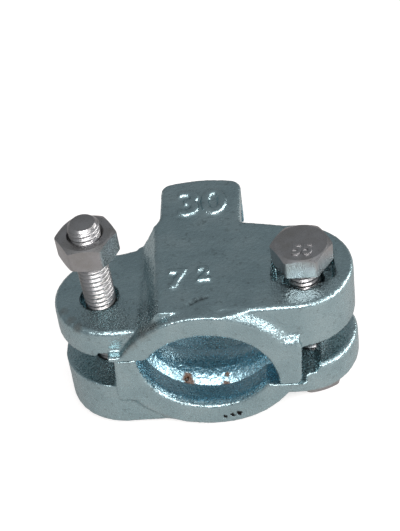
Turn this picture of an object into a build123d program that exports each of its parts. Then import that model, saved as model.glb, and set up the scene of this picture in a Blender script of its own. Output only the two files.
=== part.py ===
"""Two-bolt cast clamp with a rear claw: two equal castings, two hex bolts, two hex nuts.

Frame, in millimetres: X runs along the two bolt lugs, Y along the bore from the front rim
to the claw, Z up. The origin is on the bore axis in the plane of the front rim, halfway
between the two parting faces. Both castings are the same shape: the lower one is the
upper one turned half a turn about the bore axis and pushed along X by HALF_SHIFT.
"""

import math
import os

from build123d import *

# ---- fasteners -------------------------------------------------------------------
BOLT_D = 6.0
THREAD_SHANK_R = 0.5 * BOLT_D - 0.10
NUT_RUNNING_FIT = 0.05
WRENCH_AF = 10.0
HEAD_H = 4.0
NUT_H = 4.9
HEX_CHAMFER_ANGLE = 30.0
HEX_FACE_SHARE = 0.95
BOLT_TIP_CHAMFER = 0.7
NUT_COUNTERSINK = 0.45
LEFT_BOLT_LENGTH = 40.0
RIGHT_BOLT_LENGTH = 30.0
BOLT_LEAN_DEG = 1.5
HEAD_SPIN_DEG = -3.45
RIGHT_NUT_SPIN_DEG = 18.0
LEFT_NUT_SPIN_DEG = 0.0
LEFT_HEAD_SPIN_DEG = 30.0
LEFT_HEAD_SLACK = 1.9
LEFT_TIP_PAST_NUT = 2.6
RIGHT_HEAD_STAND_OFF = 5.0
NUT_SEAT_GAP = 0.03

# ---- holes and recess ------------------------------------------------------------
HOLE_CLEARANCE = 0.6
BOLT_SPACING = 38.0
HOLE_Y = 12.3
RECESS_FLOOR_CLEARANCE = 0.7
RECESS_MOUTH_CLEARANCE = 1.25
RECESS_DEPTH = 3.5
RECESS_OVER = 0.5
RECESS_TURN_DEG = 30.0

# ---- clamp bore ------------------------------------------------------------------
BORE_R = 13.25
BORE_DROP = 4.0
RING_WALL = 4.05
CROWN_RISE = 0.2
CROWN_START = 1.2
CROWN_DEPTH = 4.5
CROWN_SINK = 0.05
LAND_LENGTH = 15.0
GROOVE_DEPTH = 1.3
GROOVE_START = 5.2
GROOVE_FLOOR = 6.4
GROOVE_END = 9.9
POCKET_DEPTH = 1.5
POCKET_RAMP = 0.5
CLAW_RAMP = 1.0
RIM_FILLET = 0.8
OUTER_RIM_FILLET = 0.6

# ---- casting ---------------------------------------------------------------------
PARTING_STEP = 4.3
HALF_SHIFT = 0.8
DECK_TOP = 13.8
RING_DROP = BORE_R + RING_WALL - DECK_TOP - CROWN_RISE
PLAIN_TOP = 9.6
PLAIN_UNDER = 2.7
RECESS_UNDER = 3.6
PLAIN_OVERHANG = 8.6
RECESS_OVERHANG = 9.15
LUG_END_PLAIN = 0.5 * BOLT_SPACING + PLAIN_OVERHANG
LUG_END_RECESS = 0.5 * BOLT_SPACING + RECESS_OVERHANG
PLAIN_FRONT = 2.2
RECESS_FRONT = 1.5
LUG_BACK = 24.2
BODY_BULGE = 2.0
BODY_BACK = LUG_BACK + BODY_BULGE
TAB_HALF = 7.8
TAB_END = 39.5
TAB_CORNER_R = 2.3
TAB_END_SAG = 1.2
SLOPE_FOOT_X = -10.4
SLOPE_HEAD_X = -7.5
SLOPE_SKEW_DEG = 2.4
SLOPE_LEAD = 0.9
CROWN_HALF = 6.0
TAB_ROOT_R = 4.5
TAB_ROOT_SHARP_R = 0.6
TONGUE_OUT = 17.9
TONGUE_TAPER = 0.6
TONGUE_SHELF = 6.0
TONGUE_CLEARANCE = 1.3
TONGUE_DEPTH = 7.4
TONGUE_TO_HOLE = 0.3
FOOT_OUT = 17.5
FOOT_H = 0.9
RING_INNER_X = 8.0
CLAW_LENGTH = 3.2
CLAW_R = 10.6
TAB_UNDER = 10.6
EDGE_FILLET = 1.2
RIM_ROUND = 1.0
SEAM_RAMP = 0.6
PROFILE_FILLET = 1.4
OVERRUN = 4.0

# ---- reach and tolerance for picking edges, not sizes of the clamp -----------------
EDGE_TOUCH = 0.02
PICK_NEAR = 0.1


def circle_at(x, y, radius):
    """A round blank of the given radius on the current plane."""
    return Pos(x, y) * Circle(radius)


def arc_half_width(radius, drop, z):
    """Half width at height z of a circle centred on x = 0 at z = -drop."""
    return math.sqrt(radius**2 - (z + drop) ** 2)


def along_bore(face, start, end):
    """An X-Z profile made solid from Y = start to Y = end."""
    return Pos(0, start, 0) * extrude(Plane.XZ * face, amount=end - start, dir=(0, 1, 0))


def lug_outline(end_x, start_x, front, back):
    """Plan of one lug: a round end running tangent into its front and back edges."""
    radius = 0.5 * (back - front)
    side = math.copysign(1.0, end_x)
    centre_x = end_x - side * radius
    middle = 0.5 * (front + back)
    length = abs(centre_x - start_x)
    straight = Pos(0.5 * (centre_x + start_x), middle) * Rectangle(length, back - front)
    return circle_at(centre_x, middle, radius) + straight


def centre_outline():
    """Plan of the middle of the casting, with its back edges running in to the tab."""
    shoulder = 0.5 * BOLT_SPACING - BOLT_D / 2
    return Polygon(
        (-shoulder, PLAIN_FRONT),
        (CROWN_HALF, PLAIN_FRONT),
        (CROWN_HALF, RECESS_FRONT),
        (shoulder, RECESS_FRONT),
        (shoulder, LUG_BACK),
        (TAB_HALF, BODY_BACK),
        (-TAB_HALF, BODY_BACK),
        (-shoulder, LUG_BACK),
        align=None,
    )


def tab_outline():
    """Plan of the rear tab: straight sides, round corners and a bowed end."""
    corner_y = TAB_END - TAB_END_SAG
    with BuildSketch() as outline:
        with BuildLine():
            left = Line((-TAB_HALF, HOLE_Y), (-TAB_HALF, corner_y))
            bow = ThreePointArc(left @ 1, (0, TAB_END), (TAB_HALF, corner_y))
            right = Line(bow @ 1, (TAB_HALF, HOLE_Y))
            Line(right @ 1, left @ 0)
        make_face()
        corners = outline.vertices().sort_by(Axis.Y)[-2:]
        fillet(corners, TAB_CORNER_R)
    return outline.sketch


def low_outline():
    """Plan of the plain lug, run in under the foot of the slope."""
    shoulder = 0.5 * BOLT_SPACING - BOLT_D / 2
    lug = lug_outline(-LUG_END_PLAIN, -shoulder, PLAIN_FRONT, LUG_BACK)
    run_in = Polygon(
        (-shoulder, PLAIN_FRONT),
        (-TAB_HALF, PLAIN_FRONT),
        (-TAB_HALF, BODY_BACK),
        (-shoulder, LUG_BACK),
        align=None,
    )
    return lug + run_in


def high_outline():
    """Plan of everything at plateau height, with the tab blended into the back edge."""
    recess = lug_outline(LUG_END_RECESS, CROWN_HALF, RECESS_FRONT, LUG_BACK)
    whole = recess + centre_outline() + tab_outline()
    for side, radius in ((-1, TAB_ROOT_R), (1, TAB_ROOT_SHARP_R)):
        root = Vector(side * TAB_HALF, BODY_BACK, 0)
        corner = whole.vertices().sort_by(lambda v: (Vector(v.X, v.Y, 0) - root).length)[0]
        whole = fillet(corner, radius)
    return whole


def slope_profile():
    """Front view of the high block: its slope runs down to the level of the plain lug."""
    left = SLOPE_FOOT_X - SLOPE_LEAD
    right = LUG_END_RECESS + OVERRUN
    with BuildSketch() as profile:
        with BuildLine():
            Polyline(
                (left, 0),
                (left, PLAIN_TOP),
                (SLOPE_FOOT_X, PLAIN_TOP),
                (SLOPE_HEAD_X, DECK_TOP),
                (right, DECK_TOP),
                (right, 0),
                (left, 0),
            )
        make_face()
        slope = [v for v in profile.vertices() if v.Y > PLAIN_TOP - PICK_NEAR]
        slope = [v for v in slope if SLOPE_FOOT_X - PICK_NEAR < v.X < SLOPE_HEAD_X + PICK_NEAR]
        fillet(slope, PROFILE_FILLET)
    return profile.sketch


def under_profile():
    """Front view of what is cut from below: the parting level and the recess lug's inner face."""
    right = LUG_END_RECESS + OVERRUN
    seam_x = TONGUE_OUT + HALF_SHIFT + TONGUE_CLEARANCE
    claw_x = TAB_HALF + OVERRUN
    return Polygon(
        (-seam_x, PLAIN_UNDER - OVERRUN),
        (-seam_x, PLAIN_UNDER),
        (-seam_x + SEAM_RAMP, PARTING_STEP),
        (claw_x, PARTING_STEP),
        (claw_x, RECESS_UNDER),
        (right, RECESS_UNDER),
        (right, PLAIN_UNDER - OVERRUN),
        align=None,
    )


def ring_profile():
    """Front view of the ring: outer arc, plain foot on one side, tongue on the other."""
    outer_r = BORE_R + RING_WALL
    foot_top = PARTING_STEP + FOOT_H
    foot_x = -arc_half_width(outer_r, RING_DROP, foot_top)
    shelf_x = arc_half_width(outer_r, RING_DROP, TONGUE_SHELF)
    crown = (0, outer_r - RING_DROP)
    with BuildSketch() as profile:
        with BuildLine():
            ThreePointArc((foot_x, foot_top), crown, (shelf_x, TONGUE_SHELF))
            Polyline(
                (shelf_x, TONGUE_SHELF),
                (TONGUE_OUT, TONGUE_SHELF),
                (TONGUE_OUT - TONGUE_TAPER, -PARTING_STEP),
                (RING_INNER_X, -PARTING_STEP),
                (RING_INNER_X, PARTING_STEP),
                (-FOOT_OUT, PARTING_STEP),
                (-FOOT_OUT, foot_top),
                (foot_x, foot_top),
            )
        make_face()
        shelf = [v for v in profile.vertices() if v.X > TONGUE_OUT - PICK_NEAR]
        fillet(shelf, EDGE_FILLET)
    return profile.sketch


def upright(outline, top_z):
    """A plan outline made solid from top_z down to the underside of the lugs."""
    top = Plane.XY.offset(top_z) * outline
    return extrude(top, amount=top_z - PLAIN_UNDER, dir=(0, 0, -1))


def low_block():
    """The plain lug's slab, rounded round its top and its underside."""
    slab = upright(low_outline(), PLAIN_TOP)
    layers = slab.faces().sort_by(Axis.Z)
    return fillet(layers[-1].edges() + layers[0].edges(), EDGE_FILLET)


def high_block():
    """Plateau, recess lug and tab: rounded round the top clear of the crown, then sloped."""
    block = upright(high_outline(), DECK_TOP)
    rim = block.faces().sort_by(Axis.Z)[-1].edges()
    clear = [e for e in rim if e.center().Y > LAND_LENGTH or e.center().X > CROWN_HALF + EDGE_TOUCH]
    block = fillet(clear, RIM_ROUND)
    skew = Pos(0, PLAIN_FRONT, 0) * Rot(0, 0, SLOPE_SKEW_DEG) * Pos(0, -PLAIN_FRONT, 0)
    reach = 3 * OVERRUN
    return block & (skew * along_bore(slope_profile(), -reach, TAB_END + reach))


def under_tab():
    """Room below the tab's arm, from the back of the body to the claw."""
    claw_start = TAB_END - CLAW_LENGTH
    length = claw_start - BODY_BACK
    width = 2 * (TAB_HALF + OVERRUN)
    room = Pos(0, BODY_BACK + 0.5 * length, TAB_UNDER - 0.5 * TAB_END) * Box(width, length, TAB_END)
    top_edges = room.edges().filter_by(Axis.X).sort_by(Axis.Z)[-2:]
    return fillet(top_edges, PROFILE_FILLET)


def bolt_way():
    """Room behind the tongue for the bolt that passes beside it."""
    inner_x = 0.5 * BOLT_SPACING - 0.5 * BOLT_D - HOLE_CLEARANCE - TONGUE_TO_HOLE
    width = TONGUE_OUT + OVERRUN - inner_x
    depth = LAND_LENGTH + OVERRUN - TONGUE_DEPTH
    height = PARTING_STEP + RECESS_UNDER + OVERRUN
    room = Pos(inner_x + 0.5 * width, TONGUE_DEPTH + 0.5 * depth, RECESS_UNDER - 0.5 * height)
    block = room * Box(width, depth, height)
    corner = block.edges().filter_by(Axis.Z).sort_by(lambda e: e.center().X + e.center().Y)[0]
    return fillet(corner, EDGE_FILLET)


def ring_body():
    """Ring, foot and tongue as deep as the clamp bore, rounded round the front."""
    body = along_bore(ring_profile(), 0.0, LAND_LENGTH) - bolt_way()
    front = body.faces().sort_by(Axis.Y)[0]
    tongue_x = TONGUE_OUT - TONGUE_TAPER
    outer = [e for e in front.edges() if e.center().Z > PARTING_STEP + PICK_NEAR or e.center().X > tongue_x]
    body = fillet(outer, OUTER_RIM_FILLET)
    crown = Polygon(
        (-OVERRUN, DECK_TOP + OVERRUN),
        (CROWN_START, DECK_TOP + RING_WALL),
        (CROWN_START, BORE_R + RING_WALL - RING_DROP),
        (CROWN_DEPTH, DECK_TOP - CROWN_SINK),
        (LAND_LENGTH + OVERRUN, DECK_TOP - CROWN_SINK),
        (LAND_LENGTH + OVERRUN, DECK_TOP + OVERRUN),
        align=None,
    )
    wide = BORE_R + RING_WALL
    return body - Pos(-wide, 0, 0) * extrude(Plane.YZ * crown, amount=2 * wide, dir=(1, 0, 0))


def bore_cutter():
    """Everything the bore takes out: lands, groove, flared rim and rear pocket."""
    flare = RIM_FILLET
    pocket_r = BORE_R + POCKET_DEPTH
    groove_r = BORE_R + GROOVE_DEPTH
    claw_start = TAB_END - CLAW_LENGTH
    with BuildSketch(Plane.XY) as section:
        with BuildLine():
            Line((0, -OVERRUN), (BORE_R + flare, -OVERRUN))
            Line((BORE_R + flare, -OVERRUN), (BORE_R + flare, 0))
            ThreePointArc(
                (BORE_R + flare, 0),
                (BORE_R + flare * (1 - math.sqrt(0.5)), flare * (1 - math.sqrt(0.5))),
                (BORE_R, flare),
            )
            Polyline(
                (BORE_R, flare),
                (BORE_R, GROOVE_START),
                (groove_r, GROOVE_FLOOR),
                (BORE_R, GROOVE_END),
                (BORE_R, LAND_LENGTH),
                (pocket_r, LAND_LENGTH + POCKET_RAMP),
                (pocket_r, claw_start - CLAW_RAMP),
                (CLAW_R, claw_start),
                (CLAW_R, TAB_END + OVERRUN),
                (0, TAB_END + OVERRUN),
                (0, -OVERRUN),
            )
        make_face()
    spun = revolve(section.sketch, Axis.Y)
    return Pos(0, 0, -BORE_DROP) * spun


def bolt_holes():
    """The two clearance holes, one in each lug."""
    radius = 0.5 * BOLT_D + HOLE_CLEARANCE
    tall = DECK_TOP + 2 * OVERRUN
    drill = Pos(0, HOLE_Y, 0.5 * tall - OVERRUN) * Cylinder(radius, tall)
    half = 0.5 * BOLT_SPACING
    return Pos(-half, 0, 0) * drill + Pos(half, 0, 0) * drill


def hex_recess():
    """Drafted hexagon pocket that stops the bolt head from turning."""
    floor_r = 0.5 * (WRENCH_AF + RECESS_FLOOR_CLEARANCE)
    mouth_r = 0.5 * (WRENCH_AF + RECESS_MOUTH_CLEARANCE)
    floor_z = DECK_TOP - RECESS_DEPTH
    over_r = mouth_r + (mouth_r - floor_r) * RECESS_OVER / RECESS_DEPTH
    low = RegularPolygon(floor_r, 6, major_radius=False, rotation=RECESS_TURN_DEG)
    high = RegularPolygon(over_r, 6, major_radius=False, rotation=RECESS_TURN_DEG)
    pocket = loft([Plane.XY.offset(floor_z) * low, Plane.XY.offset(DECK_TOP + RECESS_OVER) * high])
    return Pos(0.5 * BOLT_SPACING, HOLE_Y, 0) * pocket


def casting():
    """One casting, in the place of the upper one."""
    body = low_block() + high_block()
    body = body - along_bore(under_profile(), -OVERRUN, TAB_END + OVERRUN)
    body = body + ring_body()
    body = body - under_tab() - bore_cutter()
    body = body - bolt_holes() - hex_recess()
    return body


def hex_blank(height):
    """Hexagon prism about Z from z = 0 up, corners on +X and -X."""
    return extrude(RegularPolygon(0.5 * WRENCH_AF, 6, major_radius=False, rotation=0), amount=height)


def corner_cone(height, both_ends):
    """Round envelope that takes the corners off a hexagon at one or both ends."""
    corner_r = 0.5 * WRENCH_AF / math.cos(math.pi / 6)
    face_r = 0.5 * WRENCH_AF * HEX_FACE_SHARE
    fall = (corner_r - face_r) * math.tan(math.radians(HEX_CHAMFER_ANGLE))
    lower = [(0, 0), (corner_r + EDGE_TOUCH, 0)]
    if both_ends:
        lower = [(0, 0), (face_r, 0), (corner_r, fall)]
    points = lower + [(corner_r, height - fall), (face_r, height), (0, height)]
    return revolve(Plane.XZ * Polygon(*points, align=None), Axis.Z)


def hex_bolt(length):
    """Hex bolt about Z: bearing face at z = 0, shank down, head up."""
    head = hex_blank(HEAD_H) & corner_cone(HEAD_H, False)
    shank = Pos(0, 0, -0.5 * length) * Cylinder(THREAD_SHANK_R, length)
    tip = shank.edges().sort_by(Axis.Z)[0]
    shank = chamfer(tip, BOLT_TIP_CHAMFER)
    return head + shank


def hex_nut():
    """Hex nut about Z standing on z = 0, with its bore countersunk at both ends."""
    bore_r = THREAD_SHANK_R + NUT_RUNNING_FIT
    body = hex_blank(NUT_H) & corner_cone(NUT_H, True)
    body = body - Pos(0, 0, 0.5 * NUT_H) * Cylinder(bore_r, NUT_H + OVERRUN)
    mouths = body.edges().filter_by(GeomType.CIRCLE)
    mouths = [e for e in mouths if abs(e.radius - bore_r) < EDGE_TOUCH]
    return chamfer(mouths, NUT_COUNTERSINK)


def bolt_axis(side):
    """Placement of a leaning bolt axis: centred between the two offset holes."""
    middle_x = side * 0.5 * BOLT_SPACING + 0.5 * HALF_SHIFT
    return Pos(middle_x, HOLE_Y, 0) * Rot(0, -BOLT_LEAN_DEG, 0)


def lower_from_upper(shape):
    """The same casting turned over to stand below."""
    return Pos(HALF_SHIFT, 0, 0) * (Rot(0, 180, 0) * shape)


def left_bearing_z():
    """Height of the left bolt's bearing face, a little below the floor of the lower recess."""
    return RECESS_DEPTH - DECK_TOP - LEFT_HEAD_SLACK


def left_bolt():
    """Bolt pushed up through the lower recess, head hanging a little below its floor."""
    turned = Rot(180, 0, 0) * (Rot(0, 0, LEFT_HEAD_SPIN_DEG) * hex_bolt(LEFT_BOLT_LENGTH))
    return bolt_axis(-1) * (Pos(0, 0, left_bearing_z()) * turned)


def right_bolt():
    """Bolt let down through the upper recess, head standing off its floor."""
    bearing_z = DECK_TOP - RECESS_DEPTH + RIGHT_HEAD_STAND_OFF
    return bolt_axis(1) * (Pos(0, 0, bearing_z) * (Rot(0, 0, HEAD_SPIN_DEG) * hex_bolt(RIGHT_BOLT_LENGTH)))


def left_nut():
    """Nut high on the left bolt."""
    base_z = left_bearing_z() + LEFT_BOLT_LENGTH - LEFT_TIP_PAST_NUT - NUT_H
    return bolt_axis(-1) * (Pos(0, 0, base_z) * (Rot(0, 0, LEFT_NUT_SPIN_DEG) * hex_nut()))


def right_nut():
    """Nut run up against the underside of the lower plain lug."""
    corner_r = 0.5 * WRENCH_AF / math.cos(math.pi / 6)
    tilt_rise = corner_r * math.sin(math.radians(BOLT_LEAN_DEG))
    base_z = -PLAIN_TOP - tilt_rise - NUT_SEAT_GAP - NUT_H
    return bolt_axis(1) * (Pos(0, 0, base_z) * (Rot(0, 0, RIGHT_NUT_SPIN_DEG) * hex_nut()))


def main():
    os.makedirs("parts", exist_ok=True)
    upper = casting()
    pieces = {
        "upper_casting": upper,
        "lower_casting": lower_from_upper(upper),
        "left_bolt": left_bolt(),
        "right_bolt": right_bolt(),
        "left_nut": left_nut(),
        "right_nut": right_nut(),
    }
    for node, shape in pieces.items():
        export_step(shape, f"parts/{node}.step")


main()
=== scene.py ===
"""Looks of the two-bolt cast clamp: cast skins, threaded bolts, nuts, floor, light, camera."""

import math

import bpy
import numpy as np
from mathutils import Matrix, Vector, noise


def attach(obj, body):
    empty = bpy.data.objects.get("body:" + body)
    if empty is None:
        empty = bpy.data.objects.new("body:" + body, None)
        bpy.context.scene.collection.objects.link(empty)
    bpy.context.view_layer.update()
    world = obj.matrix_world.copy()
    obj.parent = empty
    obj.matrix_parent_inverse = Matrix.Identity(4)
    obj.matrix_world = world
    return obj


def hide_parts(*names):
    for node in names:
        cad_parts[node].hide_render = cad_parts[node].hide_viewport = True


MM = 0.001

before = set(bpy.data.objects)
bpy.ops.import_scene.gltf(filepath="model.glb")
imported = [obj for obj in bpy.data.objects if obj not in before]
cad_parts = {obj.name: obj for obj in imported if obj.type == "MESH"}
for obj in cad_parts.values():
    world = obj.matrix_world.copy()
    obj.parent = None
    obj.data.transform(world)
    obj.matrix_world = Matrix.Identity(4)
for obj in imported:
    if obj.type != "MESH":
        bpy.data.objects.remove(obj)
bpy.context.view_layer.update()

# ---- shared sizes, in millimetres -------------------------------------------------
PITCH = 1.0
THREAD_R = 2.95
THREAD_DEPTH = 0.42
CREST_SHARPNESS = 0.7
ROWS_PER_PITCH = 12
THREAD_SEGMENTS = 56
TIP_TAPER_LENGTH, TIP_TAPER_SLOPE = 0.8, 0.9
TIP_FLAT_INSET = 1.0
TIP_EDGE = 0.06
NEAR_AXIS = 0.01
ACROSS_FLATS = 10.0
HEAD_H = 4.0
NUT_H = 4.9
NUT_PLAY = 0.03
NUT_SINK = 0.42
HEX_SEGMENTS = 144
HEX_FACE_SHARE = 0.95
HEX_CORNER_ROUND = 0.25
HEX_CHAMFER_DEG = 30
SPLIT_DEG = 28
LEAN = math.radians(1.5)
HOLE_Y = 12.3
BOLT_X = {"left": -18.6, "right": 19.4}
DECK_TOP = 13.8
FLOOR_Z = -16.35

# ---- where the fasteners stand on their axes, in millimetres and degrees ------------
LEFT_BOLT_LENGTH, LEFT_BEARING_Z, LEFT_BOLT_TURN = 40.0, -12.2, 30
RIGHT_BOLT_LENGTH, RIGHT_BEARING_Z, RIGHT_BOLT_TURN = 30.0, 15.3, -3.45
LEFT_NUT_Z = 20.3
RIGHT_NUT_Z, RIGHT_NUT_TURN = -14.68, 18

# ---- plain numerals: text, size, centre, height, added stroke ----------------------
NUMERAL_BEVEL = 0.10
TAB_NUMERALS = ("30", 9.6, (0.2, 31.6, DECK_TOP), 0.5, 0.12)
PLATEAU_NUMERALS = [
    ("7", 6.6, (-4.0, 10.6, DECK_TOP), 0.42, 0.06),
    ("2", 5.0, (0.9, 11.6, DECK_TOP), 0.42, 0.06),
]
HEAD_NUMERALS = ("55", 3.9, (0.3, -1.9, HEAD_H), 0.22, 0.06)

# ---- cast skin --------------------------------------------------------------------
VOXEL = 0.28
SOFTEN_FACTOR, SOFTEN_TIMES = 0.5, 2
GRAIN_HEIGHT = 0.05
GRAIN_SCALE, FINE_GRAIN_SCALE, FINE_GRAIN_SHARE = 1.5, 3.1, 0.6
LUMP_HEIGHT = 0.07
LUMP_SCALE, LUMP_MIDDLE = 0.22, 0.3
SEED_STEPS = (17.0, 5.0, 9.0)
HALF_SHIFT = 0.8
BORE_DROP = 4.0

# The bore's radius along Y: as the solid has it, and with the soft rim, the undercut and
# the rolled shoulder that the render shows.
SOLID_BORE = [
    (-1, 14.05), (0, 14.05), (0.3, 13.6), (0.8, 13.25), (5.2, 13.25), (6.4, 14.55),
    (9.9, 13.25), (15.0, 13.25), (15.5, 14.75),
]
CAST_BORE = [
    (-1, 14.0), (0, 13.95), (0.3, 13.45), (0.8, 13.05), (1.4, 12.8), (2.0, 12.7), (5.3, 12.8),
    (6.0, 14.5), (6.6, 14.6), (7.4, 13.85), (8.4, 13.1), (9.6, 12.5), (11.0, 12.2),
    (12.5, 12.25), (14.9, 12.8), (15.5, 14.75),
]
BORE_BACK_Y = 15.5
BORE_REACH, BORE_FADE = 1.3, 1.2

# The cove between the ring and the front of the recess lug: its section as radius and Y,
# and how far it runs round the ring from the top.
RING_DROP = 3.3
COVE_SECTION = [
    (16.8, 0.25), (17.2, 0.22), (17.6, 0.52), (18.3, 1.17), (19.0, 1.66), (19.5, 1.78),
    (19.5, 1.9), (16.8, 1.9),
]
COVE_UNDER_DECK = 0.15
COVE_FROM_DEG, COVE_TO_DEG, COVE_STEPS = 14, 60, 24
SHELF_FROM_X, SHELF_TO_X = 14.2, 17.5
SHELF_SECTION = [
    (5.7, 0.3), (6.0, 0.25), (6.4, 0.55), (7.1, 1.2), (7.8, 1.66), (8.2, 1.78), (8.2, 1.9),
    (5.7, 1.9),
]

# A cold shut in the plateau, from end to end.
CREASE_ENDS = ((-1.8, 4.0), (1.55, 5.7))
CREASE_HALF_WIDTH = 0.45
CREASE_DEPTH = 0.3
CREASE_BOW, CREASE_BOW_WAY = 0.35, (-0.5, 0.85)
CREASE_REACH_Z = 0.4


def link(name, mesh):
    ob = bpy.data.objects.new(name, mesh)
    bpy.context.scene.collection.objects.link(ob)
    return ob


def fresh_mesh(name, verts, faces):
    mesh = bpy.data.meshes.new(name)
    mesh.from_pydata(verts, [], faces)
    mesh.validate()
    mesh.update()
    return mesh


def applied(ob):
    """Replaces the object's mesh with its evaluated one and drops the modifiers."""
    dg = bpy.context.evaluated_depsgraph_get()
    mesh = bpy.data.meshes.new_from_object(ob.evaluated_get(dg))
    ob.modifiers.clear()
    ob.data = mesh
    return ob


def smooth_shaded(mesh):
    mesh.polygons.foreach_set("use_smooth", [True] * len(mesh.polygons))
    mesh.update()


def numerals(text, size, centre, depth, bold):
    """Plain raised numerals as a solid mesh in millimetres, centred on a flat."""
    curve = bpy.data.curves.new("numerals", "FONT")
    curve.body = text
    curve.size = size
    curve.extrude = depth
    curve.bevel_depth = NUMERAL_BEVEL
    curve.bevel_resolution = 1
    curve.offset = bold
    curve.align_x = "CENTER"
    curve.align_y = "CENTER"
    ob = link("numerals", curve)
    dg = bpy.context.evaluated_depsgraph_get()
    mesh = bpy.data.meshes.new_from_object(ob.evaluated_get(dg))
    bpy.data.objects.remove(ob)
    mesh.transform(Matrix.Translation(centre))
    return mesh


def join_meshes(name, meshes):
    verts, faces = [], []
    for mesh in meshes:
        start = len(verts)
        verts += [tuple(v.co) for v in mesh.vertices]
        faces += [tuple(start + i for i in p.vertices) for p in mesh.polygons]
    return fresh_mesh(name, verts, faces)


def points_of(mesh):
    co = np.empty(len(mesh.vertices) * 3)
    mesh.vertices.foreach_get("co", co)
    return co.reshape(-1, 3)


def set_points(mesh, co):
    mesh.vertices.foreach_set("co", co.ravel())
    mesh.update()


def shape_bore(co, centre_x, centre_z):
    """Moves the bore's wall from the solid's profile to the cast one."""
    out = co[:, [0, 2]] - (centre_x, centre_z)
    radius = np.hypot(out[:, 0], out[:, 1])
    solid_r = np.interp(co[:, 1], *zip(*SOLID_BORE))
    cast_r = np.interp(co[:, 1], *zip(*CAST_BORE))
    weight = np.clip((solid_r + BORE_REACH - radius) / BORE_FADE, 0, 1)
    weight = weight * (co[:, 1] < BORE_BACK_Y)
    grow = 1 + weight * (cast_r - solid_r) / radius
    co[:, 0] = centre_x + out[:, 0] * grow
    co[:, 2] = centre_z + out[:, 1] * grow


def sink_crease(co, deck_z):
    """Presses the cold shut into the plateau."""
    start, end = (np.array(p) for p in CREASE_ENDS)
    run = end - start
    along = np.clip(((co[:, :2] - start) @ run) / np.sum(run**2), 0, 1)
    bow = CREASE_BOW * np.sin(along * math.pi)
    nearest = start + along[:, None] * run + bow[:, None] * CREASE_BOW_WAY
    gap = np.linalg.norm(co[:, :2] - nearest, axis=1)
    press = np.clip(1 - gap / CREASE_HALF_WIDTH, 0, 1)
    press = press * (np.abs(co[:, 2] - deck_z) < CREASE_REACH_Z)
    co[:, 2] -= np.sign(deck_z) * CREASE_DEPTH * press


def swept(name, rings):
    """Closed solid through a row of equal-length loops of points."""
    count = len(rings[0])
    verts = [point for ring in rings for point in ring]
    faces = []
    for k in range(len(rings) - 1):
        for j in range(count):
            here, after = k * count + j, k * count + (j + 1) % count
            faces.append((here, after, after + count, here + count))
    last = (len(rings) - 1) * count
    faces += [tuple(range(count))[::-1], tuple(range(last, last + count))]
    return fresh_mesh(name, verts, faces)


def cove():
    """The concave run of metal between the ring and the recess lug's front."""
    rings = []
    top = DECK_TOP - COVE_UNDER_DECK
    for k in range(COVE_STEPS + 1):
        a = math.radians(COVE_FROM_DEG + (COVE_TO_DEG - COVE_FROM_DEG) * k / COVE_STEPS)
        across, up = math.sin(a), math.cos(a)
        rings.append([(r * across, y, min(r * up - RING_DROP, top)) for r, y in COVE_SECTION])
    return swept("cove", rings)


def shelf_cove():
    """The same run of metal above the tongue's shelf."""
    ends = (SHELF_FROM_X, SHELF_TO_X)
    return swept("shelf_cove", [[(x, y, z) for z, y in SHELF_SECTION] for x in ends])


def cast_skin(node, marks, seed, centre_x, side):
    """The casting with soft edges and an uneven cast surface, from its CAD solid."""
    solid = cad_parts[node].data.copy()
    solid.transform(Matrix.Scale(1 / MM, 4))
    ob = link(node + "_skin", join_meshes(node, [solid] + marks))
    remesh = ob.modifiers.new("voxels", "REMESH")
    remesh.mode = "VOXEL"
    remesh.voxel_size = VOXEL
    soften = ob.modifiers.new("soften", "SMOOTH")
    soften.factor = SOFTEN_FACTOR
    soften.iterations = SOFTEN_TIMES
    applied(ob)
    co = points_of(ob.data)
    shape_bore(co, centre_x, -side * BORE_DROP)
    if side > 0:
        sink_crease(co, DECK_TOP)
    set_points(ob.data, co)
    roughen(ob.data, seed)
    ob.data.transform(Matrix.Scale(MM, 4))
    smooth_shaded(ob.data)
    return ob


def roughen(mesh, seed):
    """Moves each point along its normal by a fine grain and a broad waviness."""
    shift = Vector([seed * step for step in SEED_STEPS])
    for v, n in zip(mesh.vertices, [Vector(v.normal) for v in mesh.vertices]):
        p = v.co + shift
        fine = noise.noise(p * FINE_GRAIN_SCALE)
        grain = noise.noise(p * GRAIN_SCALE) + FINE_GRAIN_SHARE * fine
        lump = noise.noise(p * LUMP_SCALE)
        v.co += n * (GRAIN_HEIGHT * grain + LUMP_HEIGHT * (lump - LUMP_MIDDLE))


# ---- fasteners --------------------------------------------------------------------
def ring_mesh(rows, segments):
    """Vertices and faces of rows about Z; each row gives a point for an angle."""
    verts, faces = [], []
    for row in rows:
        for k in range(segments):
            verts.append(row(2 * math.pi * k / segments))
    for j in range(len(rows) - 1):
        for k in range(segments):
            a = j * segments + k
            b = j * segments + (k + 1) % segments
            faces.append((a, b, b + segments, a + segments))
    return verts, faces


def hex_radius(angle):
    """Distance from the axis to a hexagon's side, corners on +X and a little round."""
    sector = math.pi / 3
    local = (angle % sector) - sector / 2
    sharp = 0.5 * ACROSS_FLATS / math.cos(local)
    corner = 0.5 * ACROSS_FLATS / math.cos(sector / 2)
    return min(sharp, corner - 0.5 * HEX_CORNER_ROUND)


def polar(radius, z):
    return lambda a: (radius * math.cos(a), radius * math.sin(a), z)


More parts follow.
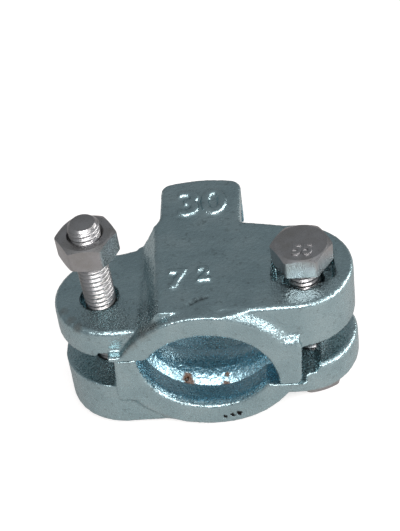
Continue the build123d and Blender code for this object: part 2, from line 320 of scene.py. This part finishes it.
def hexagon_rows(height, both_ends, inner_r, sink=0.0):
    """Rows of a chamfered hexagon, from its lower middle out, up and in again."""
    slope = math.tan(math.radians(HEX_CHAMFER_DEG))
    face_r = 0.5 * ACROSS_FLATS * HEX_FACE_SHARE
    corner_r = hex_radius(0.0)
    rows = []
    inner = inner_r + sink

    def end(sign, chamfered):
        out = []
        for t in (0.0, 0.35, 0.7, 0.95, 1.0):
            r = inner + (face_r - inner) * t
            out.append(polar(r, height if sign > 0 else 0.0))
        for t in (0.12, 0.3, 0.5, 0.7, 0.85, 0.97, 1.0):
            def point(a, t=t):
                r = min(face_r + (corner_r - face_r) * t, hex_radius(a))
                drop = max(0.0, r - face_r) * slope if chamfered else 0.0
                z = height - drop if sign > 0 else drop
                return (r * math.cos(a), r * math.sin(a), z)
            out.append(point)
        return out

    rows += end(-1, both_ends)
    side_lo = rows[-1]
    top = end(1, True)
    side_hi = top[-1]
    for t in (0.04, 0.2, 0.4, 0.6, 0.8, 0.96):
        def side(a, t=t):
            lo, hi = side_lo(a), side_hi(a)
            return tuple(l + (h - l) * t for l, h in zip(lo, hi))
        rows.append(side)
    rows += reversed(top)
    return rows


def thread_radius(angle, z, tip):
    """Radius of an M6 thread at an angle and height, run out towards its tip."""
    phase = (z / PITCH - angle / (2 * math.pi)) % 1.0
    crest = 0.5 + 0.5 * math.cos(2 * math.pi * phase)
    radius = THREAD_R - THREAD_DEPTH * (1 - crest**CREST_SHARPNESS)
    room = abs(z - tip)
    if room < TIP_TAPER_LENGTH:
        radius = min(radius, THREAD_R - (TIP_TAPER_LENGTH - room) * TIP_TAPER_SLOPE)
    return radius


def bolt_mesh(length, marks):
    """Hex bolt about Z, bearing face at z = 0, head up, thread down to -length."""
    tip = -length

    def thread_row(z):
        def point(a):
            radius = thread_radius(a, z, tip)
            return (radius * math.cos(a), radius * math.sin(a), z)
        return point

    rows = [polar(NEAR_AXIS, tip), polar(THREAD_R - TIP_FLAT_INSET, tip)]
    steps = int(length / PITCH * ROWS_PER_PITCH)
    for j in range(steps + 1):
        rows.append(thread_row(tip + TIP_EDGE + (length - TIP_EDGE) * j / steps))
    body, faces = ring_mesh(rows, THREAD_SEGMENTS)
    head, head_faces = ring_mesh(hexagon_rows(HEAD_H, False, NEAR_AXIS), HEX_SEGMENTS)
    start = len(body)
    faces = faces + [tuple(start + i for i in f) for f in head_faces]
    mesh = fresh_mesh("bolt", body + head, faces)
    return join_meshes("bolt", [mesh] + marks)


def nut_mesh():
    """Hex nut about Z on z = 0, with a plain bore and countersunk mouths."""
    inner = THREAD_R + NUT_PLAY
    rows = hexagon_rows(NUT_H, True, inner, NUT_SINK)
    for t in (0.0, 0.5, 1.0):
        rows.append(polar(inner + NUT_SINK * (1 - t), NUT_H - NUT_SINK * t))
    rows.append(polar(inner, NUT_SINK))
    rows.append(polar(inner + NUT_SINK, 0.0))
    return fresh_mesh("nut", *ring_mesh(rows, HEX_SEGMENTS))


def bolt_axis(side):
    """Placement of a leaning bolt's axis, in millimetres."""
    return Matrix.Translation((BOLT_X[side], HOLE_Y, 0)) @ Matrix.Rotation(-LEAN, 4, "Y")


def turned(degrees, axis="Z"):
    return Matrix.Rotation(math.radians(degrees), 4, axis)


def raised(z):
    return Matrix.Translation((0, 0, z))


def place(name, mesh, matrix):
    mesh.transform(Matrix.Scale(MM, 4) @ matrix)
    smooth_shaded(mesh)
    ob = link(name, mesh)
    edges = ob.modifiers.new("edges", "EDGE_SPLIT")
    edges.split_angle = math.radians(SPLIT_DEG)
    applied(ob)
    return ob


# ---- materials --------------------------------------------------------------------
ZINC_TONES = [(0.3, (0.34, 0.465, 0.50)), (0.5, (0.39, 0.525, 0.56)), (0.7, (0.44, 0.57, 0.60))]
ZINC_DULL = (0.20, 0.26, 0.27)
# Painted shade: a bluer, lighter colour on the bore's wall stands in for the blue shade and
# bounced light inside the bore.
BORE_PAINTED_SHADE = (0.365, 0.575, 0.665)
BORE_OVAL = (0.75, 0, 1)
BORE_SHADE_EDGE = (10.4, 11.2)
BORE_SHADE_START = (0.3, 1.6)
ZINC_BUMP = 0.105
ZINC_ROUGHNESS = (0.20, 0.36)
STEEL_ROUGHNESS = (0.24, 0.42)
# Noises: scale per millimetre, detail and, where it isn't the usual one, roughness.
ZINC_CLOUD, ZINC_GRAIN, ZINC_SPECK = (0.16, 4), (2.2, 2, 0.5), (0.9, 4, 0.75)
STEEL_CLOUD, STEEL_FINE = (0.35, 3), (4.0, 4)
RAGGED_SCALE, RAGGED_PUSH = 1.6, 1.1
STEEL_TONES = [
    (0.3, (0.35, 0.345, 0.34)), (0.55, (0.41, 0.41, 0.42)), (0.75, (0.46, 0.465, 0.48)),
]
RUST = (0.13, 0.06, 0.03)
STAIN_BROWN = (0.20, 0.17, 0.14)
PIT_BLACK = (0.015, 0.015, 0.015)
# Painted shade: a dark grey laid along the cold shut's groove in the plateau.
CREASE_PAINTED_SHADE = (0.07, 0.08, 0.085)
RUST_SPOTS = [
    ((-4.5, 7.6, -8.7), 1.0), ((-4.4, 6.9, -9.7), 1.1), ((2.8, 6.8, -10.5), 0.75),
    ((-0.3, 10.6, -8.8), 0.5), ((3.1, 8.2, -9.2), 0.5), ((6.6, 6.6, -9.4), 0.4),
]
STAIN_SPOTS = [
    ((-13.1, 0.6, 9.0), 1.3), ((-10.9, 0.8, 11.2), 1.6), ((-8.8, 0.7, 12.2), 1.1),
    ((-14.6, 0.6, 7.2), 1.0), ((-22.5, 4.6, 9.3), 0.8), ((-23.9, 6.5, 9.2), 0.7),
    ((-25.4, 9.0, 9.0), 0.7),
]
PIT_SPOTS = [
    ((3.9, 0.0, -11.7), 0.5), ((5.1, 0.0, -11.3), 0.55), ((2.4, 0.0, -12.0), 0.35),
    ((-4.0, 6.6, -10.6), 0.5), ((-5.2, 6.9, -10.1), 0.45), ((-4.6, 7.5, -9.0), 0.4),
]
CREASE_SHADE_SPOTS = [
    ((-1.4, 4.3, 13.7), 0.4), ((-0.5, 4.9, 13.7), 0.6), ((0.5, 5.4, 13.7), 0.55),
    ((1.3, 5.5, 13.7), 0.4),
]


def nodes_of(name):
    mat = bpy.data.materials.new(name)
    mat.use_nodes = True
    tree = mat.node_tree
    tree.nodes.clear()
    out = tree.nodes.new("ShaderNodeOutputMaterial")
    shader = tree.nodes.new("ShaderNodeBsdfPrincipled")
    tree.links.new(shader.outputs[0], out.inputs[0])
    return mat, tree, shader


def coords(tree):
    """Object coordinates in millimetres."""
    tex = tree.nodes.new("ShaderNodeTexCoord")
    scale = tree.nodes.new("ShaderNodeMapping")
    scale.inputs["Scale"].default_value = (1 / MM,) * 3
    tree.links.new(tex.outputs["Object"], scale.inputs[0])
    return scale.outputs[0]


def noise_node(tree, where, scale, detail=3.0, rough=0.55):
    n = tree.nodes.new("ShaderNodeTexNoise")
    n.inputs["Scale"].default_value = scale
    n.inputs["Detail"].default_value = detail
    n.inputs["Roughness"].default_value = rough
    tree.links.new(where, n.inputs["Vector"])
    return n.outputs["Fac"]


def ramp(tree, value, stops):
    r = tree.nodes.new("ShaderNodeValToRGB")
    els = r.color_ramp.elements
    els[0].position, els[0].color = stops[0][0], (*stops[0][1], 1)
    els[1].position, els[1].color = stops[-1][0], (*stops[-1][1], 1)
    for pos, col in stops[1:-1]:
        e = els.new(pos)
        e.color = (*col, 1)
    tree.links.new(value, r.inputs[0])
    return r.outputs[0]


def spread(tree, value, low, high, out_low, out_high):
    m = tree.nodes.new("ShaderNodeMapRange")
    keys = ("From Min", "From Max", "To Min", "To Max")
    for key, v in zip(keys, (low, high, out_low, out_high)):
        m.inputs[key].default_value = v
    tree.links.new(value, m.inputs["Value"])
    return m.outputs[0]


def bumped(tree, shader, *layers):
    """Chains bump nodes; each layer is a height value with a strength and distance."""
    before = None
    for height, strength, distance in layers:
        b = tree.nodes.new("ShaderNodeBump")
        b.inputs["Strength"].default_value = strength
        b.inputs["Distance"].default_value = distance
        tree.links.new(height, b.inputs["Height"])
        if before:
            tree.links.new(before, b.inputs["Normal"])
        before = b.outputs[0]
    tree.links.new(before, shader.inputs["Normal"])


def mix_colour(tree, amount, under, over):
    """Colour over another by an amount; either may be a socket or a plain colour."""
    m = tree.nodes.new("ShaderNodeMix")
    m.data_type = "RGBA"
    tree.links.new(amount, m.inputs[0])
    for socket, value in ((m.inputs[6], under), (m.inputs[7], over)):
        if isinstance(value, tuple):
            socket.default_value = (*value, 1)
        else:
            tree.links.new(value, socket)
    return m.outputs[2]


def calculate(tree, operation, a, b):
    m = tree.nodes.new("ShaderNodeMath")
    m.operation = operation
    for socket, value in zip(m.inputs, (a, b)):
        if isinstance(value, (int, float)):
            socket.default_value = value
        else:
            tree.links.new(value, socket)
    return m.outputs[0]


def stirred(tree, where, scale, amount):
    """Coordinates pushed about by noise, in millimetres."""
    n = tree.nodes.new("ShaderNodeTexNoise")
    n.inputs["Scale"].default_value = scale
    n.inputs["Detail"].default_value = 3
    tree.links.new(where, n.inputs["Vector"])
    centred = tree.nodes.new("ShaderNodeVectorMath")
    centred.operation = "SUBTRACT"
    centred.inputs[1].default_value = (0.5, 0.5, 0.5)
    tree.links.new(n.outputs["Color"], centred.inputs[0])
    scaled = tree.nodes.new("ShaderNodeVectorMath")
    scaled.operation = "SCALE"
    scaled.inputs["Scale"].default_value = amount
    tree.links.new(centred.outputs[0], scaled.inputs[0])
    moved = tree.nodes.new("ShaderNodeVectorMath")
    moved.operation = "ADD"
    tree.links.new(where, moved.inputs[0])
    tree.links.new(scaled.outputs[0], moved.inputs[1])
    return moved.outputs[0]


def patches(tree, where, spots, edge):
    """Mask of ragged round patches; each spot is a centre and a radius in millimetres."""
    total = None
    for centre, radius in spots:
        d = tree.nodes.new("ShaderNodeVectorMath")
        d.operation = "DISTANCE"
        d.inputs[1].default_value = centre
        tree.links.new(where, d.inputs[0])
        one = spread(tree, d.outputs["Value"], radius * (1 - edge), radius * (1 + edge), 1.0, 0.0)
        total = one if total is None else calculate(tree, "MAXIMUM", total, one)
    return total


def painted_bore_shade(tree, where):
    """Mask of the bore's wall, where a bluer, lighter colour is painted as the shade and bounced
    light inside the bore.
    """
    oval = tree.nodes.new("ShaderNodeVectorMath")
    oval.operation = "MULTIPLY"
    oval.inputs[1].default_value = BORE_OVAL
    tree.links.new(where, oval.inputs[0])
    length = tree.nodes.new("ShaderNodeVectorMath")
    length.operation = "LENGTH"
    tree.links.new(oval.outputs[0], length.inputs[0])
    near = spread(tree, length.outputs["Value"], *BORE_SHADE_EDGE, 1.0, 0.0)
    axes = tree.nodes.new("ShaderNodeSeparateXYZ")
    tree.links.new(where, axes.inputs[0])
    behind_face = spread(tree, axes.outputs["Y"], *BORE_SHADE_START, 0.0, 1.0)
    return calculate(tree, "MULTIPLY", near, behind_face)


def cast_zinc():
    mat, tree, shader = nodes_of("zinc_on_cast_iron")
    where = coords(tree)
    cloud = noise_node(tree, where, *ZINC_CLOUD)
    grain = noise_node(tree, where, *ZINC_GRAIN)
    speck = noise_node(tree, where, *ZINC_SPECK)
    ragged = stirred(tree, where, RAGGED_SCALE, RAGGED_PUSH)
    zinc = ramp(tree, cloud, ZINC_TONES)
    dull = spread(tree, speck, 0.57, 0.66, 0.0, 0.55)
    # Painted shade: the bore's wall gets its bluer, lighter colour here.
    zinc = mix_colour(tree, painted_bore_shade(tree, where), zinc, BORE_PAINTED_SHADE)
    colour = mix_colour(tree, dull, zinc, ZINC_DULL)
    stains = calculate(tree, "MULTIPLY", patches(tree, ragged, STAIN_SPOTS, 0.8), 0.6)
    colour = mix_colour(tree, stains, colour, STAIN_BROWN)
    # Painted shade along the cold shut's groove in the plateau.
    shade = calculate(tree, "MULTIPLY", patches(tree, ragged, CREASE_SHADE_SPOTS, 0.7), 0.75)
    colour = mix_colour(tree, shade, colour, CREASE_PAINTED_SHADE)
    rust = patches(tree, ragged, RUST_SPOTS, 0.3)
    colour = mix_colour(tree, rust, colour, RUST)
    tree.links.new(calculate(tree, "SUBTRACT", 1.0, rust), shader.inputs["Metallic"])
    pits = patches(tree, ragged, PIT_SPOTS, 0.2)
    colour = mix_colour(tree, pits, colour, PIT_BLACK)
    tree.links.new(colour, shader.inputs["Base Color"])
    tree.links.new(spread(tree, grain, 0.3, 0.7, *ZINC_ROUGHNESS), shader.inputs["Roughness"])
    bumped(tree, shader, (grain, 1.0, ZINC_BUMP * MM), (pits, 1.0, -0.2 * MM))
    return mat


def bolt_zinc():
    mat, tree, shader = nodes_of("zinc_on_steel")
    where = coords(tree)
    cloud = noise_node(tree, where, *STEEL_CLOUD)
    fine = noise_node(tree, where, *STEEL_FINE)
    shader.inputs["Metallic"].default_value = 1.0
    tree.links.new(ramp(tree, cloud, STEEL_TONES), shader.inputs["Base Color"])
    tree.links.new(spread(tree, fine, 0.3, 0.7, *STEEL_ROUGHNESS), shader.inputs["Roughness"])
    bumped(tree, shader, (cloud, 0.15, 0.2 * MM), (fine, 0.35, 0.05 * MM))
    return mat


def floor_paper():
    """Pale paper with a glow for the camera alone: reflections see the bare paper."""
    mat, tree, shader = nodes_of("pale_floor")
    where = coords(tree)
    fleck = noise_node(tree, where, 0.05, 2)
    col = ramp(tree, fleck, FLOOR_TONES)
    tree.links.new(col, shader.inputs["Base Color"])
    shader.inputs["Roughness"].default_value = 0.9
    path = tree.nodes.new("ShaderNodeLightPath")
    glow = tree.nodes.new("ShaderNodeEmission")
    glow.inputs[0].default_value = (1, 1, 1, 1)
    level = calculate(tree, "MULTIPLY", path.outputs["Is Camera Ray"], FLOOR_GLOW)
    tree.links.new(level, glow.inputs[1])
    both = tree.nodes.new("ShaderNodeAddShader")
    tree.links.new(shader.outputs[0], both.inputs[0])
    tree.links.new(glow.outputs[0], both.inputs[1])
    out = next(n for n in tree.nodes if n.type == "OUTPUT_MATERIAL")
    tree.links.new(both.outputs[0], out.inputs[0])
    return mat


# ---- surroundings -----------------------------------------------------------------
LAMP_TINT = (1.0, 0.965, 0.94)
FLOOR_TONES = [(0.3, (0.63, 0.605, 0.595)), (0.7, (0.66, 0.635, 0.625))]
FLOOR_GLOW = 0.66
FLOOR_HALF_M = 3.0
SKY_TINT = (0.94, 0.97, 1.0, 1)
SKY_BRIGHT_SIDE = (0.3, -0.8, 0.5)
SKY_DIM = 0.25
SKY_BRIGHT = 0.45
LAMP_TARGET = (0, 0.012, 0)
KEY_PLACE, KEY_SIZE, KEY_WATTS = (0.03, -0.40, 0.46), (0.6, 0.09), 2.2
RIGHT_PLACE, RIGHT_SIZE, RIGHT_WATTS = (0.55, -0.08, 0.20), (0.9, 0.12), 3.0


def make_floor():
    s = FLOOR_HALF_M
    z = FLOOR_Z * MM
    mesh = fresh_mesh("floor", [(-s, -s, z), (s, -s, z), (s, s, z), (-s, s, z)], [(0, 1, 2, 3)])
    ob = link("floor", mesh)
    ob.data.materials.append(floor_paper())


def area_light(name, place_m, target_m, size, watts):
    data = bpy.data.lights.new(name, "AREA")
    data.shape = "RECTANGLE"
    data.size, data.size_y = size
    data.energy = watts
    data.color = LAMP_TINT
    ob = link(name, data)
    ob.location = place_m
    ob.rotation_euler = (Vector(target_m) - Vector(place_m)).to_track_quat("-Z", "Y").to_euler()
    return ob


def make_sky():
    """Studio walls: dim behind the clamp, brighter towards the front and the right."""
    world = bpy.data.worlds.new("studio")
    bpy.context.scene.world = world
    world.use_nodes = True
    tree = world.node_tree
    back = next(n for n in tree.nodes if n.type == "BACKGROUND")
    back.inputs[0].default_value = SKY_TINT
    direction = tree.nodes.new("ShaderNodeTexCoord").outputs["Generated"]
    facing = tree.nodes.new("ShaderNodeVectorMath")
    facing.operation = "DOT_PRODUCT"
    facing.inputs[1].default_value = Vector(SKY_BRIGHT_SIDE).normalized()
    tree.links.new(direction, facing.inputs[0])
    level = spread(tree, facing.outputs["Value"], -0.5, 0.9, SKY_DIM, SKY_BRIGHT)
    tree.links.new(level, back.inputs[1])


def make_light():
    make_sky()
    area_light("key", KEY_PLACE, LAMP_TARGET, KEY_SIZE, KEY_WATTS)
    area_light("right_strip", RIGHT_PLACE, LAMP_TARGET, RIGHT_SIZE, RIGHT_WATTS)


# ---- camera -----------------------------------------------------------------------
YAW, ELEVATION, ROLL = (math.radians(a) for a in (-0.65, 42.36, 6.05))
CAMERA_SHIFT = Vector((1.04, 19.26, 273.29))
CAMERA_LIFT = 0.6
LENS, SENSOR = 135.0, 36.0


def make_camera():
    cos_roll, sin_roll = math.cos(ROLL), math.sin(ROLL)
    cos_yaw, sin_yaw = math.cos(YAW), math.sin(YAW)
    across = Vector((cos_roll * cos_yaw, -sin_yaw, -sin_roll * cos_yaw))
    level = Vector((cos_roll * sin_yaw, cos_yaw, -sin_roll * sin_yaw))
    rise = Vector((sin_roll, 0, cos_roll))
    ahead = math.cos(ELEVATION) * level - math.sin(ELEVATION) * rise
    down = -math.cos(ELEVATION) * rise - math.sin(ELEVATION) * level
    spot = -(CAMERA_SHIFT.x * across + CAMERA_SHIFT.y * down + CAMERA_SHIFT.z * ahead)
    spot.z += CAMERA_LIFT
    data = bpy.data.cameras.new("photo_view")
    data.lens = LENS
    data.sensor_width = SENSOR
    data.sensor_fit = "HORIZONTAL"
    data.clip_start = 0.01
    ob = link("photo_view", data)
    turn = Matrix((across, -down, -ahead)).transposed().to_4x4()
    ob.matrix_world = Matrix.Translation(spot * MM) @ turn
    bpy.context.scene.camera = ob


# ---- build ------------------------------------------------------------------------
CAST, STEEL = cast_zinc(), bolt_zinc()


def dress(ob, node, material):
    ob.data.materials.clear()
    ob.data.materials.append(material)
    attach(ob, node)
    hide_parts(node)


def main():
    marks = [numerals(*TAB_NUMERALS)]
    marks += [numerals(*row) for row in PLATEAU_NUMERALS]
    marks += [cove(), shelf_cove()]
    flip = Matrix.Translation((HALF_SHIFT, 0, 0)) @ turned(180, "Y")
    lower_marks = [m.copy() for m in marks]
    for m in lower_marks:
        m.transform(flip)
    upper = cast_skin("upper_casting", marks, 1, 0.0, 1)
    dress(upper, "upper_casting", CAST)
    lower = cast_skin("lower_casting", lower_marks, 2, HALF_SHIFT, -1)
    dress(lower, "lower_casting", CAST)

    head_mark = numerals(*HEAD_NUMERALS)
    stand = raised(LEFT_BEARING_Z) @ turned(180, "X") @ turned(LEFT_BOLT_TURN)
    left = place("left_bolt_skin", bolt_mesh(LEFT_BOLT_LENGTH, []), bolt_axis("left") @ stand)
    dress(left, "left_bolt", STEEL)
    stand = raised(RIGHT_BEARING_Z) @ turned(RIGHT_BOLT_TURN)
    right = bolt_mesh(RIGHT_BOLT_LENGTH, [head_mark])
    right = place("right_bolt_skin", right, bolt_axis("right") @ stand)
    dress(right, "right_bolt", STEEL)
    nut = place("left_nut_skin", nut_mesh(), bolt_axis("left") @ raised(LEFT_NUT_Z))
    dress(nut, "left_nut", STEEL)
    stand = raised(RIGHT_NUT_Z) @ turned(RIGHT_NUT_TURN)
    nut = place("right_nut_skin", nut_mesh(), bolt_axis("right") @ stand)
    dress(nut, "right_nut", STEEL)
    make_floor()
    make_light()
    make_camera()
    bpy.context.scene.view_settings.view_transform = "Standard"


main()
